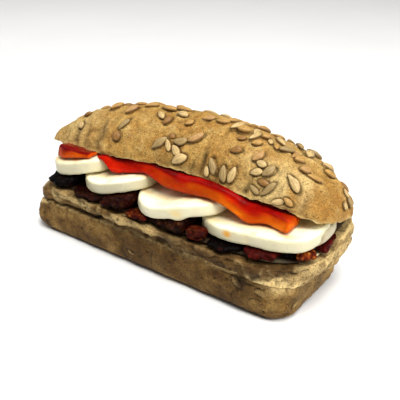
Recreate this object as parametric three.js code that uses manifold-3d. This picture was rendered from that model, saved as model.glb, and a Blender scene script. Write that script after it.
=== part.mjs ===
// A filled panini: a small seeded wheat roll, cut through lengthways, its lid propped open at the front by
// overlapping mozzarella slices, two strips of roasted pepper and dried tomatoes on a thin cream spread.
// Millimetres, +Z up, X along the roll, the open front faces -Y. The origin is the middle of the footprint.
import * as THREE from "three";
import { mergeVertices } from "three/addons/utils/BufferGeometryUtils.js";
import Module from "manifold-3d";

const wasm = await Module();
wasm.setup();

// ---- driving dimensions ----
const ROLL_LENGTH = 164.4;
const ROLL_WIDTH = 57.6;
const GAP = 0.35; // air between pieces that touch

// The tin-baked lower half: its foot, its widest level and the ledge above which the dough rose free.
const FOOT_RADIUS = 5;
const LEDGE_HEIGHT = 20; // at the front
const LEDGE_FALL = 11; // from the front to the back
const LEDGE_DROP_LEFT = 4; // at the left end
const LEDGE_LOWEST = 8;
const CREASE_DEPTH = 2.4;

// The cut through the roll.
const CUT_HEIGHT = 26.8; // lowest point of the front rim
const CUT_LOW_X = 15; // where that point is
const CUT_RISE_LEFT = 4.6;
const CUT_RISE_RIGHT = 2;
const CUT_BACK_HEIGHT = 35;
const CUT_RISE_FROM = -4; // the y where the cut starts to climb to the back
const CUT_RISE_TO = 24;
const CUT_HOLLOW = 0.8; // the crumb is pressed in under the filling

const LID = {
  halfLength: 81,
  halfWidth: 23.3,
  height: 27.5,
  centre: [1.2, 6.25, 43.2],
  tiltDeg: 16, // front edge up
  pitchDeg: 0.8, // right end up
  powerLeft: 2.7, // of the superellipse outline: the left end is pointed,
  powerRight: 4.4, // the right end is full
  domePower: 1.9,
  archFront: 3, // how far the filling pushes up the middle of the front edge
  droopLeft: 2.4, // how far the front edge sinks at the left end
  droopRight: 3.2, // how far the cut sinks at the right end
  fallLeft: 3, // how far the dome sinks there
  tipReach: 7.5, // how far the front left corner is drawn out to a thin tip
  hollow: 5, // the crumb is pressed in over the filling
};

const SPREAD_THICKNESS = 1;
const SPREAD_INSET = 4.6; // from the rim of the cut
const PRESSED_INSET = 2.6; // the crumb is pressed in from here inwards

const SEED = { length: 9.4, width: 5.2, thickness: 2.8, sunk: 0.3 };

const radians = (degrees) => THREE.MathUtils.degToRad(degrees);
const lerp = THREE.MathUtils.lerp;
const smooth = THREE.MathUtils.smoothstep;
const box = (left, right, front, back, corners) => ({ left, right, front, back, corners });

// ---- outlines ----
// A rounded rectangle, run once round for u = 0 to 1 from the front end of its right side, anticlockwise.
const SIDE_SHARES = [0.08, 0.24, 0.08, 0.24]; // right, back, left, front
const ARC_SHARE = 0.09;

function roundedRectangle(u, { left, right, front, back, corners }) {
  const [backRight, backLeft, frontLeft, frontRight] = corners;
  const centres = [
    [right - backRight, back - backRight],
    [left + backLeft, back - backLeft],
    [left + frontLeft, front + frontLeft],
    [right - frontRight, front + frontRight],
  ];
  let side = 0;
  while (side < 3 && u > SIDE_SHARES[side] + ARC_SHARE) {
    u -= SIDE_SHARES[side] + ARC_SHARE;
    side += 1;
  }
  const along = Math.min(u / SIDE_SHARES[side], 1);
  const bend = THREE.MathUtils.clamp((u - SIDE_SHARES[side]) / ARC_SHARE, 0, 1);
  const from = (side + 3) % 4;
  const radius = lerp(corners[from], corners[side], along);
  const angle = (side + bend) * radians(90);
  return [
    lerp(centres[from][0], centres[side][0], along) + radius * Math.cos(angle),
    lerp(centres[from][1], centres[side][1], along) + radius * Math.sin(angle),
  ];
}

// A superellipse of half sizes a and b.
function superellipse(u, a, b, power) {
  const c = Math.cos(u * radians(360));
  const s = Math.sin(u * radians(360));
  const gauge = (Math.abs(c) ** power + Math.abs(s) ** power) ** (1 / power);
  return [(a * c) / gauge, (b * s) / gauge];
}

// ---- closed bodies ----
// A body lofted through rings 0 to last, each given as a point for every turn u of its outline.
// Ring 0 and ring last are single points; the rings go from below, outwards and over the top.
function loft(last, segments, pointAt) {
  const profile = [];
  for (let k = 0; k <= last; k += 1) profile.push(new THREE.Vector2(k % last === 0 ? 0 : 1, k));
  const body = new THREE.LatheGeometry(profile, segments);
  const position = body.getAttribute("position");
  for (let i = 0; i <= segments; i += 1) {
    for (let k = 0; k <= last; k += 1) {
      const turn = k % last === 0 ? 0 : (i % segments) / segments;
      position.setXYZ(i * (last + 1) + k, ...pointAt(k, turn));
    }
  }
  body.deleteAttribute("normal");
  body.deleteAttribute("uv");
  return mergeVertices(body);
}

function solidOf(geometry) {
  const vertProperties = geometry.getAttribute("position").array;
  const triVerts = new Uint32Array(geometry.index.array);
  return new wasm.Manifold(new wasm.Mesh({ numProp: 3, vertProperties, triVerts }));
}

function geometryOf(solid) {
  const { vertProperties, triVerts } = solid.getMesh();
  const geometry = new THREE.BufferGeometry();
  geometry.setAttribute("position", new THREE.BufferAttribute(vertProperties, 3));
  geometry.setIndex(new THREE.BufferAttribute(triVerts, 1));
  return geometry;
}

// ---- the bottom of the roll ----
const halfLength = ROLL_LENGTH / 2;
const halfWidth = ROLL_WIDTH / 2;

// Corner radii in the order back right, back left, front left, front right.
const TIN_CORNERS = [12.5, 12.5, 12.5, 12.5];
const LOBE_CORNERS = [12, 16, 16, 26];
const TIN_FOOT = box(-halfLength + 0.8, halfLength - 7.6, -27.2, 27.8, TIN_CORNERS);
const TIN_WIDEST = box(-halfLength, halfLength - 7.2, -27.8, 28.2, TIN_CORNERS);
const TIN_TOP = box(-halfLength + 3.2, halfLength - 6.6, -27.6, 28, TIN_CORNERS);
const LOBE_FOOT = box(-halfLength + 5, halfLength - 4.8, -27.6, 28, [12, 14, 14, 16]);
const LOBE_MIDDLE = box(-halfLength + 8.4, halfLength - 0.4, -halfWidth + 0.2, halfWidth, [12, 15, 15, 22]);
const LOBE_TOP = box(-halfLength + 13.6, halfLength, -halfWidth, halfWidth, LOBE_CORNERS);

function ledgeHeight(x, y) {
  const fall = (LEDGE_FALL * (y + halfWidth)) / ROLL_WIDTH;
  const drop = LEDGE_DROP_LEFT * (1 - smooth(x, -halfLength, -halfLength + 22));
  return Math.max(LEDGE_HEIGHT - fall - drop, LEDGE_LOWEST);
}

function cutHeight(x, y) {
  const reach = (x - CUT_LOW_X) / (x < CUT_LOW_X ? halfLength + CUT_LOW_X : halfLength - CUT_LOW_X);
  const front = CUT_HEIGHT + (x < CUT_LOW_X ? CUT_RISE_LEFT : CUT_RISE_RIGHT) * reach ** 2;
  return lerp(front, CUT_BACK_HEIGHT, smooth(y, CUT_RISE_FROM, CUT_RISE_TO));
}

function inset({ left, right, front, back, corners }, by) {
  return box(left + by, right - by, front + by, back - by, corners.map((radius) => Math.max(radius - by, 1)));
}

// Each level: the outline, how far it is drawn in, and its height from the table, the ledge and the cut.
const BOTTOM_LEVELS = [
  [TIN_FOOT, FOOT_RADIUS, () => 0],
  [TIN_FOOT, FOOT_RADIUS * 0.5, () => FOOT_RADIUS * 0.13],
  [TIN_FOOT, FOOT_RADIUS * 0.13, () => FOOT_RADIUS * 0.5],
  [TIN_WIDEST, 0, (ledge) => ledge * 0.45],
  [TIN_TOP, 0.2, (ledge) => ledge - 1.6],
  [TIN_TOP, 1.2, (ledge) => ledge - 0.2],
  [TIN_TOP, CREASE_DEPTH, (ledge) => ledge + 0.5],
  [LOBE_FOOT, 0.8, (ledge) => ledge + 1.8],
  [LOBE_MIDDLE, 0, (ledge, cut) => lerp(ledge, cut, 0.5)],
  [LOBE_TOP, 0, (ledge, cut) => lerp(ledge, cut, 0.85)],
  [LOBE_TOP, 0.8, (ledge, cut) => cut],
];
const CAP_SCALES = [1, 0.78, 0.52, 0.26];
const CUT_CENTRE = [6, 0];

const bunTop = (x, y) => cutHeight(x, y) - CUT_HOLLOW;

function bottomBun() {
  const sides = BOTTOM_LEVELS.length;
  const last = sides + CAP_SCALES.length + 1;
  return loft(last, 60, (k, u) => {
    if (k === 0) return [0, 0, 0];
    if (k === last) return [...CUT_CENTRE, bunTop(...CUT_CENTRE)];
    if (k <= sides) {
      const [outline, drawnIn, height] = BOTTOM_LEVELS[k - 1];
      const [x, y] = roundedRectangle(u, inset(outline, drawnIn));
      return [x, y, height(ledgeHeight(x, y), cutHeight(x, y))];
    }
    const scale = CAP_SCALES[k - sides - 1];
    const [rimX, rimY] = roundedRectangle(u, inset(LOBE_TOP, PRESSED_INSET));
    const x = lerp(CUT_CENTRE[0], rimX, scale);
    const y = lerp(CUT_CENTRE[1], rimY, scale);
    return [x, y, bunTop(x, y)];
  });
}

// ---- the cream spread, a thin wavy-edged layer on the cut ----
const spreadTop = (x, y) => bunTop(x, y) + 1.5 * GAP + SPREAD_THICKNESS;

function spread() {
  const scales = [0.26, 0.52, 0.78, 1, 1, 0.78, 0.52, 0.26];
  const under = scales.length / 2;
  const last = scales.length + 1;
  return loft(last, 40, (k, u) => {
    const raised = k > under ? SPREAD_THICKNESS : 0;
    const rim = inset(LOBE_TOP, SPREAD_INSET + 0.7 * Math.sin(u * radians(360 * 9)));
    const [rimX, rimY] = roundedRectangle(u, rim);
    const scale = k === 0 || k === last ? 0 : scales[k - 1];
    const x = lerp(CUT_CENTRE[0], rimX, scale);
    const y = lerp(CUT_CENTRE[1], rimY, scale);
    const edge = scale === 1 ? 0.25 : 0;
    return [x, y, spreadTop(x, y) - SPREAD_THICKNESS + raised + edge * (raised ? -1 : 1)];
  });
}

// ---- mozzarella slices, each leaning up on the next one to its right ----
// Each one: middle; half sizes and thickness; the heights of its underside at the front, left and right of the
// bend between two x values; how the bend moves left towards the back; and how the slice rises to the back.
const SLICES = [
  { at: [-51, -10.5], size: [16.5, 13.5, 7], under: [34, 39.7], bend: [-62, -34], skew: 0.5, back: -0.03 },
  { at: [-26.9, -8], size: [20.2, 17.5, 6.2], under: [31.6, 38.4], bend: [-37, -6.5], skew: 0.15, back: 0 },
  { at: [11.5, -8.5], size: [24, 19, 6.2], under: [30.2, 38], bend: [-2, 30], skew: 0, back: 0.055 },
  { at: [50.6, -6.4], size: [27.5, 17.8, 6.5], under: [30.1, 34.4], bend: [28, 76], skew: 0, back: 0.05 },
  { at: [64.3, -1.5], size: [15.6, 15, 5.6], under: [33.6, 34], bend: [50, 80], skew: 0, back: 0.05 },
];
const SLICE_POWER = 2.6;
const SLICE_EDGE = [
  [6, 0],
  [0.7, 0],
  [0, 0.14],
  [0, 0.6],
  [0.5, 0.9],
  [1.8, 1],
  [6, 1],
]; // how far in from the rim, and the share of the thickness

function underSlice(slice, x, y) {
  const behind = y - slice.at[1] + slice.size[1];
  return lerp(...slice.under, smooth(x + slice.skew * behind, ...slice.bend)) + slice.back * behind;
}

function mozzarella(slice, grown = 0) {
  const [a, b, thickness] = slice.size;
  const last = SLICE_EDGE.length + 1;
  return loft(last, 26, (k, u) => {
    const middle = k === 0 || k === last;
    const [drawnIn, share] = middle ? [0, k === 0 ? 0 : 1] : SLICE_EDGE[k - 1];
    const [dx, dy] = middle ? [0, 0] : superellipse(u, a - drawnIn + grown, b - drawnIn + grown, SLICE_POWER);
    const x = slice.at[0] + dx;
    const y = slice.at[1] + dy;
    return [x, y, underSlice(slice, x, y) + lerp(-grown, thickness + grown, share)];
  });
}

// ---- dried tomatoes, wrinkled pads between the spread and what lies on them ----
// Each one: middle, half sizes, turn in degrees, and the slice (by its place in the row) that rests on it,
// or its own top height.
const TOMATOES = [
  { at: [-57.8, -17.2], size: [9.6, 10.2], turn: 4, under: 0 },
  { at: [-37.8, -17.4], size: [9.2, 10.2], turn: -3, under: 1 },
  { at: [-20.5, -17.4], size: [7.3, 10.2], turn: 3, under: 1 },
  { at: [-6.2, -24], size: [5, 3.9], turn: 0, top: 29.8 },
  { at: [11.2, -17.2], size: [10.8, 10.2], turn: -3, under: 2 },
  { at: [27.6, -25], size: [4.2, 2.4], turn: 0, top: 33.8 },
  { at: [40.8, -18.4], size: [8.2, 9], turn: 3, under: 3 },
  { at: [57.8, -17.4], size: [7.9, 8.6], turn: 10, under: 3 },
  { at: [68.6, -14], size: [2.2, 4.6], turn: 20, top: 32.7 },
  { at: [74.2, -11.4], size: [3.2, 4.8], turn: 40, top: 33 },
  { at: [77.4, -0.6], size: [2.7, 6.6], turn: 6, top: 32.9 },
];
const TOMATO_POWER = 3;
const TOMATO_DROOP = 0.6; // of the front edge, beyond the spread
const TOMATO_PROFILE = [
  [0.62, 0],
  [0.95, 0.22],
  [1, 0.6],
  [0.88, 0.9],
  [0.5, 1],
]; // share of the outline and of the height

function tomato({ at, size, turn, under, top }, index) {
  const last = TOMATO_PROFILE.length + 1;
  const cos = Math.cos(radians(turn));
  const sin = Math.sin(radians(turn));
  const low = (x, y) => spreadTop(x, y) + GAP - TOMATO_DROOP * smooth(-y, 25, 27.4);
  const high = (x, y) => (under === undefined ? top : underSlice(SLICES[under], x, y) - 1.8 * GAP);
  return loft(last, 16, (k, u) => {
    const [share, rise] = k === 0 ? [0, 0] : k === last ? [0, 1] : TOMATO_PROFILE[k - 1];
    const threefold = 0.04 * Math.sin(u * radians(1080) + index);
    const fivefold = 0.03 * Math.sin(u * radians(1800) + 2 * index);
    const reach = share * (1 + threefold + fivefold);
    const [a, b] = superellipse(u, size[0] * reach, size[1] * reach, TOMATO_POWER);
    const x = at[0] + a * cos - b * sin;
    const y = at[1] + a * sin + b * cos;
    return [x, y, lerp(low(x, y), high(x, y), rise)];
  });
}

// ---- roasted pepper strips, draped over the slices ----
// Stations along a strip: x, the y of its front edge, the height of its underside, its depth and thickness.
const PEPPERS = [
  [
    [-62.5, -20, 41.6, 8, 4.2],
    [-57, -22, 42.65, 9, 4.7],
    [-51, -22.4, 44.55, 9, 3.9],
    [-46, -22.2, 45.95, 9, 3],
    [-39.6, -21, 47, 9, 2.5],
  ],
  [
    [-38, -17.5, 47.1, 8, 1.4],
    [-34, -18, 46.1, 9, 2.6],
    [-28.4, -18, 41.4, 11, 5.8],
    [-20, -17, 42.8, 12, 6],
    [-10, -16.6, 45.1, 12, 5.4],
    [5, -18.8, 43, 13, 6.8],
    [16, -19.8, 43.7, 13, 6.5],
    [24, -20.6, 45.2, 12, 6],
    [34.5, -21, 45.6, 12, 5.2],
    [42, -20, 42.4, 12, 6.4],
    [48, -19.6, 39.6, 12, 7],
    [57.7, -17.8, 40.7, 12, 7],
    [69.2, -21.2, 41.9, 11, 6.4],
  ],
];
const PEPPER_SLOPE = 0.26; // the top falls to the back
const PEPPER_LEAN = 0.35; // the cut face leans back
const PEPPER_POWER = 4.5; // of the squarish section

function pepper(stations) {
  const rings = 2 * stations.length + 2;
  const along = (item) => stations.map((station) => new THREE.Vector3(station[0], station[item], 0));
  const curves = [1, 2, 3, 4].map((item) => new THREE.CatmullRomCurve3(along(item), false, "centripetal"));
  return loft(rings + 1, 12, (k, u) => {
    const t = THREE.MathUtils.clamp((k - 1) / (rings - 1), 0, 1);
    const [front, low, depth, thickness] = curves.map((curve) => curve.getPoint(t).y);
    const x = curves[0].getPoint(t).x;
    const pole = k === 0 || k === rings + 1;
    const ended = k === 1 || k === rings ? 0.85 : 1;
    const bulge = pole ? Math.sign(k - 1) * 0.8 : 0;
    const section = [(depth / 2) * ended, (thickness / 2) * ended];
    const [a, b] = pole ? [0, 0] : superellipse(u, ...section, PEPPER_POWER);
    const back = depth / 2 + a;
    const share = 0.5 + b / thickness;
    const lean = PEPPER_LEAN * thickness * share;
    return [x + bulge, front + back + lean, low + share * (thickness - PEPPER_SLOPE * back)];
  });
}

// ---- the lid ----
// In the lid's own frame the cut lies about z = 0, the front edge is at -y, and the crust domes up.
const outlinePower = (x) => (x < 0 ? LID.powerLeft : LID.powerRight);

// How far out of the middle a point of the cut lies: 1 on the rim.
function lidShare(x, y) {
  const power = outlinePower(x);
  return (Math.abs(x / LID.halfLength) ** power + Math.abs(y / LID.halfWidth) ** power) ** (1 / power);
}

function lidRim(u, share) {
  const power = outlinePower(Math.cos(u * radians(360)));
  return superellipse(u, LID.halfLength * share, LID.halfWidth * share, power);
}

function cutOfLid(x, y) {
  const frontness = (LID.halfWidth - y) / (2 * LID.halfWidth);
  const arch = smooth(x, -38, 2) - smooth(x, 18, 50);
  const frontRise = LID.archFront * arch - LID.droopLeft * smooth(-x, 30, 78);
  return frontRise * frontness - LID.droopRight * smooth(x, 56, 78);
}

// The front left corner is drawn out along the cut only, so that it ends thin.
function tipAt(x, y) {
  const frontness = smooth(-y, -8, LID.halfWidth);
  return -LID.tipReach * smooth(-x, 46, LID.halfLength) * frontness * lidShare(x, y) ** 8;
}

function lidCrustPoint(x, y) {
  const share = Math.min(lidShare(x, y), 1);
  const rise = (1 - share ** LID.domePower) ** (1 / LID.domePower);
  const top = LID.height - LID.fallLeft * smooth(-x, 45, LID.halfLength);
  return [x + tipAt(x, y), y, lerp(cutOfLid(x, y), top, rise)];
}

function lidUnderPoint(x, y) {
  return [x + tipAt(x, y), y, cutOfLid(x, y) + LID.hollow * (1 - lidShare(x, y) ** 2)];
}

function lidCrust() {
  const under = [0.4, 0.75, 0.93, 1];
  const over = [0.99, 0.95, 0.87, 0.74, 0.56, 0.34];
  const shares = [0, ...under, ...over, 0];
  return loft(shares.length - 1, 48, (k, u) => {
    const [x, y] = lidRim(u, shares[k]);
    return k <= under.length ? lidUnderPoint(x, y) : lidCrustPoint(x, y);
  });
}

// Sunflower kernels: thick in places, as clusters of [x, y, count, spread], and thinly all over.
const SEED_CLUSTERS = [
  [-2, -17, 6, 8],
  [31, -18.5, 5, 7],
  [52, -16, 6, 8],
  [40, 2, 9, 14],
  [-34, 4, 7, 12],
  [66, 2, 7, 12],
  [8, 4, 6, 14],
];
const SCATTERED_SEEDS = 40;
const SEED_SPACING = 6.4;

// A linear congruential generator, so that every build draws the same numbers.
function seededRandom(state) {
  return () => {
    state = (state * 1664525 + 1013904223) % 4294967296;
    return state / 4294967296;
  };
}

const lidSurface = (x, y) => new THREE.Vector3(...lidCrustPoint(x, y));

function seedPlaces() {
  const random = seededRandom(7);
  const places = [];
  const tryAt = (x, y) => {
    const point = lidSurface(x, y);
    if (lidShare(x, y) > 0.93 || places.some((p) => p.point.distanceTo(point) < SEED_SPACING)) return false;
    places.push({ point, turn: random() * Math.PI, size: 0.8 + 0.3 * random() });
    return true;
  };
  for (const [x, y, count, spread] of SEED_CLUSTERS) {
    for (let placed = 0, tries = 0; placed < count && tries < 60; tries += 1) {
      placed += tryAt(x + (random() * 2 - 1) * spread, y + (random() * 2 - 1) * spread * 0.5);
    }
  }
  for (let placed = 0, tries = 0; placed < SCATTERED_SEEDS && tries < 900; tries += 1) {
    placed += tryAt((random() * 2 - 1) * LID.halfLength, (random() * 2 - 1) * LID.halfWidth);
  }
  return places;
}

// One kernel, a flat drop along x, in the frame of the spot where it lies.
function seedBody({ point, turn, size }) {
  const step = 0.2;
  const slopeX = lidSurface(point.x + step, point.y).sub(lidSurface(point.x - step, point.y));
  const slopeY = lidSurface(point.x, point.y + step).sub(lidSurface(point.x, point.y - step));
  const up = slopeX.clone().cross(slopeY).normalize();
  const along = slopeX.normalize().applyAxisAngle(up, turn);
  const across = up.clone().cross(along);
  const frame = new THREE.Matrix4().makeBasis(along, across, up);
  frame.setPosition(point.clone().addScaledVector(up, SEED.thickness * size * (0.5 - SEED.sunk)));
  const body = new THREE.SphereGeometry(1, 6, 3);
  body.deleteAttribute("normal");
  body.deleteAttribute("uv");
  const drop = mergeVertices(body.rotateZ(radians(90)));
  const position = drop.getAttribute("position");
  for (let i = 0; i < position.count; i += 1) {
    const taper = 1 - 0.3 * position.getX(i);
    position.setXYZ(
      i,
      (position.getX(i) * SEED.length * size) / 2,
      (position.getY(i) * SEED.width * size * taper) / 2,
      (position.getZ(i) * SEED.thickness * size) / 2,
    );
  }
  return solidOf(drop.applyMatrix4(frame));
}

function topBun() {
  const crust = solidOf(lidCrust());
  return geometryOf(seedPlaces().reduce((solid, place) => solid.add(seedBody(place)), crust));
}

// ---- the panini ----
const panini = new THREE.Group();

function piece(name, geometry, color, roughness) {
  const mesh = new THREE.Mesh(geometry, new THREE.MeshStandardMaterial({ color, roughness, metalness: 0 }));
  mesh.name = name;
  panini.add(mesh);
  return mesh;
}

piece("bottom_bun", bottomBun(), 0x8a7048, 0.8);
piece("spread", spread(), 0xe6dcc0, 0.5);
TOMATOES.forEach((item, i) => piece(`tomato_${i + 1}`, tomato(item, i), 0x3c1014, 0.35));

const slices = SLICES.map((slice) => mozzarella(slice));
const fifth = solidOf(slices[4]).subtract(solidOf(mozzarella(SLICES[3], GAP)));
slices[4] = geometryOf(fifth.decompose().sort((a, b) => b.volume() - a.volume())[0]);
slices.forEach((slice, i) => piece(`mozzarella_${i + 1}`, slice, 0xf4f1dc, 0.35));

PEPPERS.forEach((stations, i) => piece(`pepper_${i + 1}`, pepper(stations), 0xc8401a, 0.25));

const lid = piece("top_bun", topBun(), 0xb98d58, 0.75);
lid.position.set(...LID.centre);
lid.rotation.set(-radians(LID.tiltDeg), -radians(LID.pitchDeg), 0);

// The lid leans past the back of the bottom: the whole is moved so that its footprint is centred.
const middle = new THREE.Box3().setFromObject(panini, true).getCenter(new THREE.Vector3());
for (const mesh of panini.children) mesh.position.sub(new THREE.Vector3(middle.x, middle.y, 0));

export default panini;
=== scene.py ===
"""A filled panini: the looks of its bread, cheese, peppers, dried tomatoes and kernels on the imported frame.

Shapes are worked out in millimetres in the design frame, whose origin is the middle of the bottom half of the
roll, and are placed in metres where the frame has that half.
"""

import math

import bpy
import numpy as np
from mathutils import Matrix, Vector


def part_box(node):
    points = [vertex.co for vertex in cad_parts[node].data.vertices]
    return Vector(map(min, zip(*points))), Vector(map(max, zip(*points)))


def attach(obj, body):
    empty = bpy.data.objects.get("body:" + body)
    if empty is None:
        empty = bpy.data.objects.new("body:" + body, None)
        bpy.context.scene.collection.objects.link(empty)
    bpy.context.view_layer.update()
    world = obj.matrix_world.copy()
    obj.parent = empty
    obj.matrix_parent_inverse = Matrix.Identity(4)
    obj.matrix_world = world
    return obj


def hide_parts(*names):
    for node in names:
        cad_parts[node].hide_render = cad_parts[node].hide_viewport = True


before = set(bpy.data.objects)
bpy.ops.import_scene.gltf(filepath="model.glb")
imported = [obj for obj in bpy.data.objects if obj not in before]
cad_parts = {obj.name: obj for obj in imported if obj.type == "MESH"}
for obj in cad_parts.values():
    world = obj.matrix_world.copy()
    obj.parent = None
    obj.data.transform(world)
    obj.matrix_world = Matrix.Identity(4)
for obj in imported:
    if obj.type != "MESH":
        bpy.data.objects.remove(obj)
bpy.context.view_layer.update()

MM = 0.001
low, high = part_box("bottom_bun")
SHIFT = np.array([(low.x + high.x) / 2, (low.y + high.y) / 2, 0.0])


# ---- numbers ----
def smooth(x, start, end):
    t = np.clip((x - start) / (end - start), 0, 1)
    return t * t * (3 - 2 * t)


def lerp(a, b, t):
    return a + (b - a) * t


def bell(x, width):
    """1 at 0, falling away on both sides."""
    return np.exp(-((x / width) ** 2))


def between(x, start, full, fading, end):
    """1 in the middle of a stretch, rising and falling at its two ends."""
    return smooth(x, start, full) * (1 - smooth(x, fading, end))


def turned(degrees, p, q):
    c, s = math.cos(math.radians(degrees)), math.sin(math.radians(degrees))
    return c * p - s * q, s * p + c * q


def joined(x, y, z):
    """Points from their three coordinates, any of which may be a plain number."""
    return np.stack(np.broadcast_arrays(x, y, z), axis=-1)


def split(points):
    return np.moveaxis(points, -1, 0)


def hashed(cell, seed):
    """A number from 0 to 1 for each lattice cell."""
    i, j, k = split(cell)
    n = (i * 73856093) ^ (j * 19349663) ^ (k * 83492791) ^ (seed * 2654435761)
    n = ((n & 0xFFFFFFFF) ^ (n >> 13 & 0x7FFFF)) * 1274126177 & 0xFFFFFFFF
    n = (n ^ (n >> 16)) * 73244475 & 0xFFFFFFFF
    return (n ^ (n >> 15)) / 0xFFFFFFFF


CORNERS = np.array([[c & 1, c >> 1 & 1, c >> 2 & 1] for c in range(8)])


def noise(points, size, seed=0):
    """Smooth noise from -1 to 1 with lumps about as large as size (a number or one for each axis)."""
    q = points / np.asarray(size, float) + 37.3
    base = np.floor(q).astype(np.int64)
    f = q - base
    f = f * f * (3 - 2 * f)
    total = 0
    for corner in CORNERS:
        weight = np.prod(np.where(corner, f, 1 - f), axis=-1)
        total = total + weight * hashed(base + corner, seed)
    return 2 * total - 1


def lumps(points, size, octaves=3, seed=0, keep=0.5):
    total, gain = 0, 1.0
    for octave in range(octaves):
        total = total + gain * noise(points, np.asarray(size, float) / 2**octave, seed + octave)
        gain *= keep
    return total


def pits(points, size, seed=0):
    """Distance to the nearest of scattered points, as a share of size: 0 in the middle of a pit."""
    q = points / size + 11.7
    base = np.floor(q).astype(np.int64)
    nearest = np.full(q.shape[:-1], 9.0)
    for neighbour in np.ndindex(3, 3, 3):
        cell = base + np.array(neighbour) - 1
        spot = cell + joined(*[hashed(cell, seed + s) for s in range(3)])
        nearest = np.minimum(nearest, np.linalg.norm(q - spot, axis=-1))
    return nearest


def spot_at(points, x, y, z, reach):
    """1 at a place, fading over its reach."""
    return bell(points - [x, y, z], reach).prod(axis=-1)


# ---- meshes ----
def normals_of(grid):
    """Outward normals of a closed ring grid, with rows from below over the top and columns anticlockwise."""
    along = np.roll(grid, -1, axis=1) - np.roll(grid, 1, axis=1)
    up = np.gradient(grid, axis=0)
    n = np.cross(along, up)
    return n / np.maximum(np.linalg.norm(n, axis=-1, keepdims=True), 1e-9)


def pushed(grid, by):
    """The grid moved along its normals; its first and last rows, the poles, move as one point."""
    moved = grid + normals_of(grid) * by[..., None]
    for row in (0, -1):
        moved[row] = moved[row].mean(axis=0)
    return moved


def new_object(name, data):
    obj = bpy.data.objects.new(name, data)
    bpy.context.scene.collection.objects.link(obj)
    return obj


def bare_object(name, vertices, faces):
    """An object whose points are in millimetres of the design frame."""
    mesh = bpy.data.meshes.new(name)
    mesh.from_pydata((vertices * MM + SHIFT).tolist(), [], faces)
    mesh.validate()
    return new_object(name, mesh)


def dress(obj, material, node, layers):
    """Gives a piece its material and the point values that the material reads, puts it under the root and
    hides the CAD node that it stands for, if any.
    """
    mesh = obj.data
    mesh.polygons.foreach_set("use_smooth", [True] * len(mesh.polygons))
    for layer, values in layers.items():
        attribute = mesh.attributes.new(layer, "FLOAT", "POINT")
        attribute.data.foreach_set("value", np.ravel(values).astype(np.float32))
    mesh.materials.append(material)
    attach(obj, "root")
    if node:
        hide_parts(node)


def ring_faces(rows, columns):
    """Faces of a closed ring grid whose first and last rows are single points."""
    first = np.arange(columns)
    following = (first + 1) % columns
    faces = [(0, 1 + b, 1 + a) for a, b in zip(first.tolist(), following.tolist())]
    for row in range(rows - 3):
        start = 1 + row * columns
        faces += np.stack(
            [start + first, start + following, start + columns + following, start + columns + first], axis=1
        ).tolist()
    start, last = 1 + (rows - 3) * columns, 1 + (rows - 2) * columns
    faces += [(start + a, start + b, last) for a, b in zip(first.tolist(), following.tolist())]
    return faces


def ring_points(grid):
    return np.concatenate([grid[:1, 0], grid[1:-1].reshape(-1, grid.shape[-1]), grid[-1:, 0]])


def ring_object(name, grid):
    return bare_object(name, ring_points(grid), ring_faces(*grid.shape[:2]))


def ring_piece(name, grid, material, node, layers):
    values = {layer: ring_points(values[..., None]) for layer, values in layers.items()}
    dress(ring_object(name, grid), material, node, values)


def refine(levels, rows, passes):
    """Rows spread evenly along the levels of a ring grid, its corners rounded off by so many passes."""
    chord = np.linalg.norm(np.diff(levels, axis=0), axis=-1).mean(axis=1)
    reach = np.concatenate([[0], np.cumsum(chord)])
    wanted = np.linspace(0, reach[-1], rows)
    k = np.clip(np.searchsorted(reach, wanted, side="right") - 1, 0, len(reach) - 2)
    t = ((wanted - reach[k]) / (reach[k + 1] - reach[k]))[:, None, None]
    grid = lerp(levels[k], levels[k + 1], t)
    for _ in range(passes):
        grid[1:-1] = (grid[:-2] + 2 * grid[1:-1] + grid[2:]) / 4
    return grid


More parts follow.
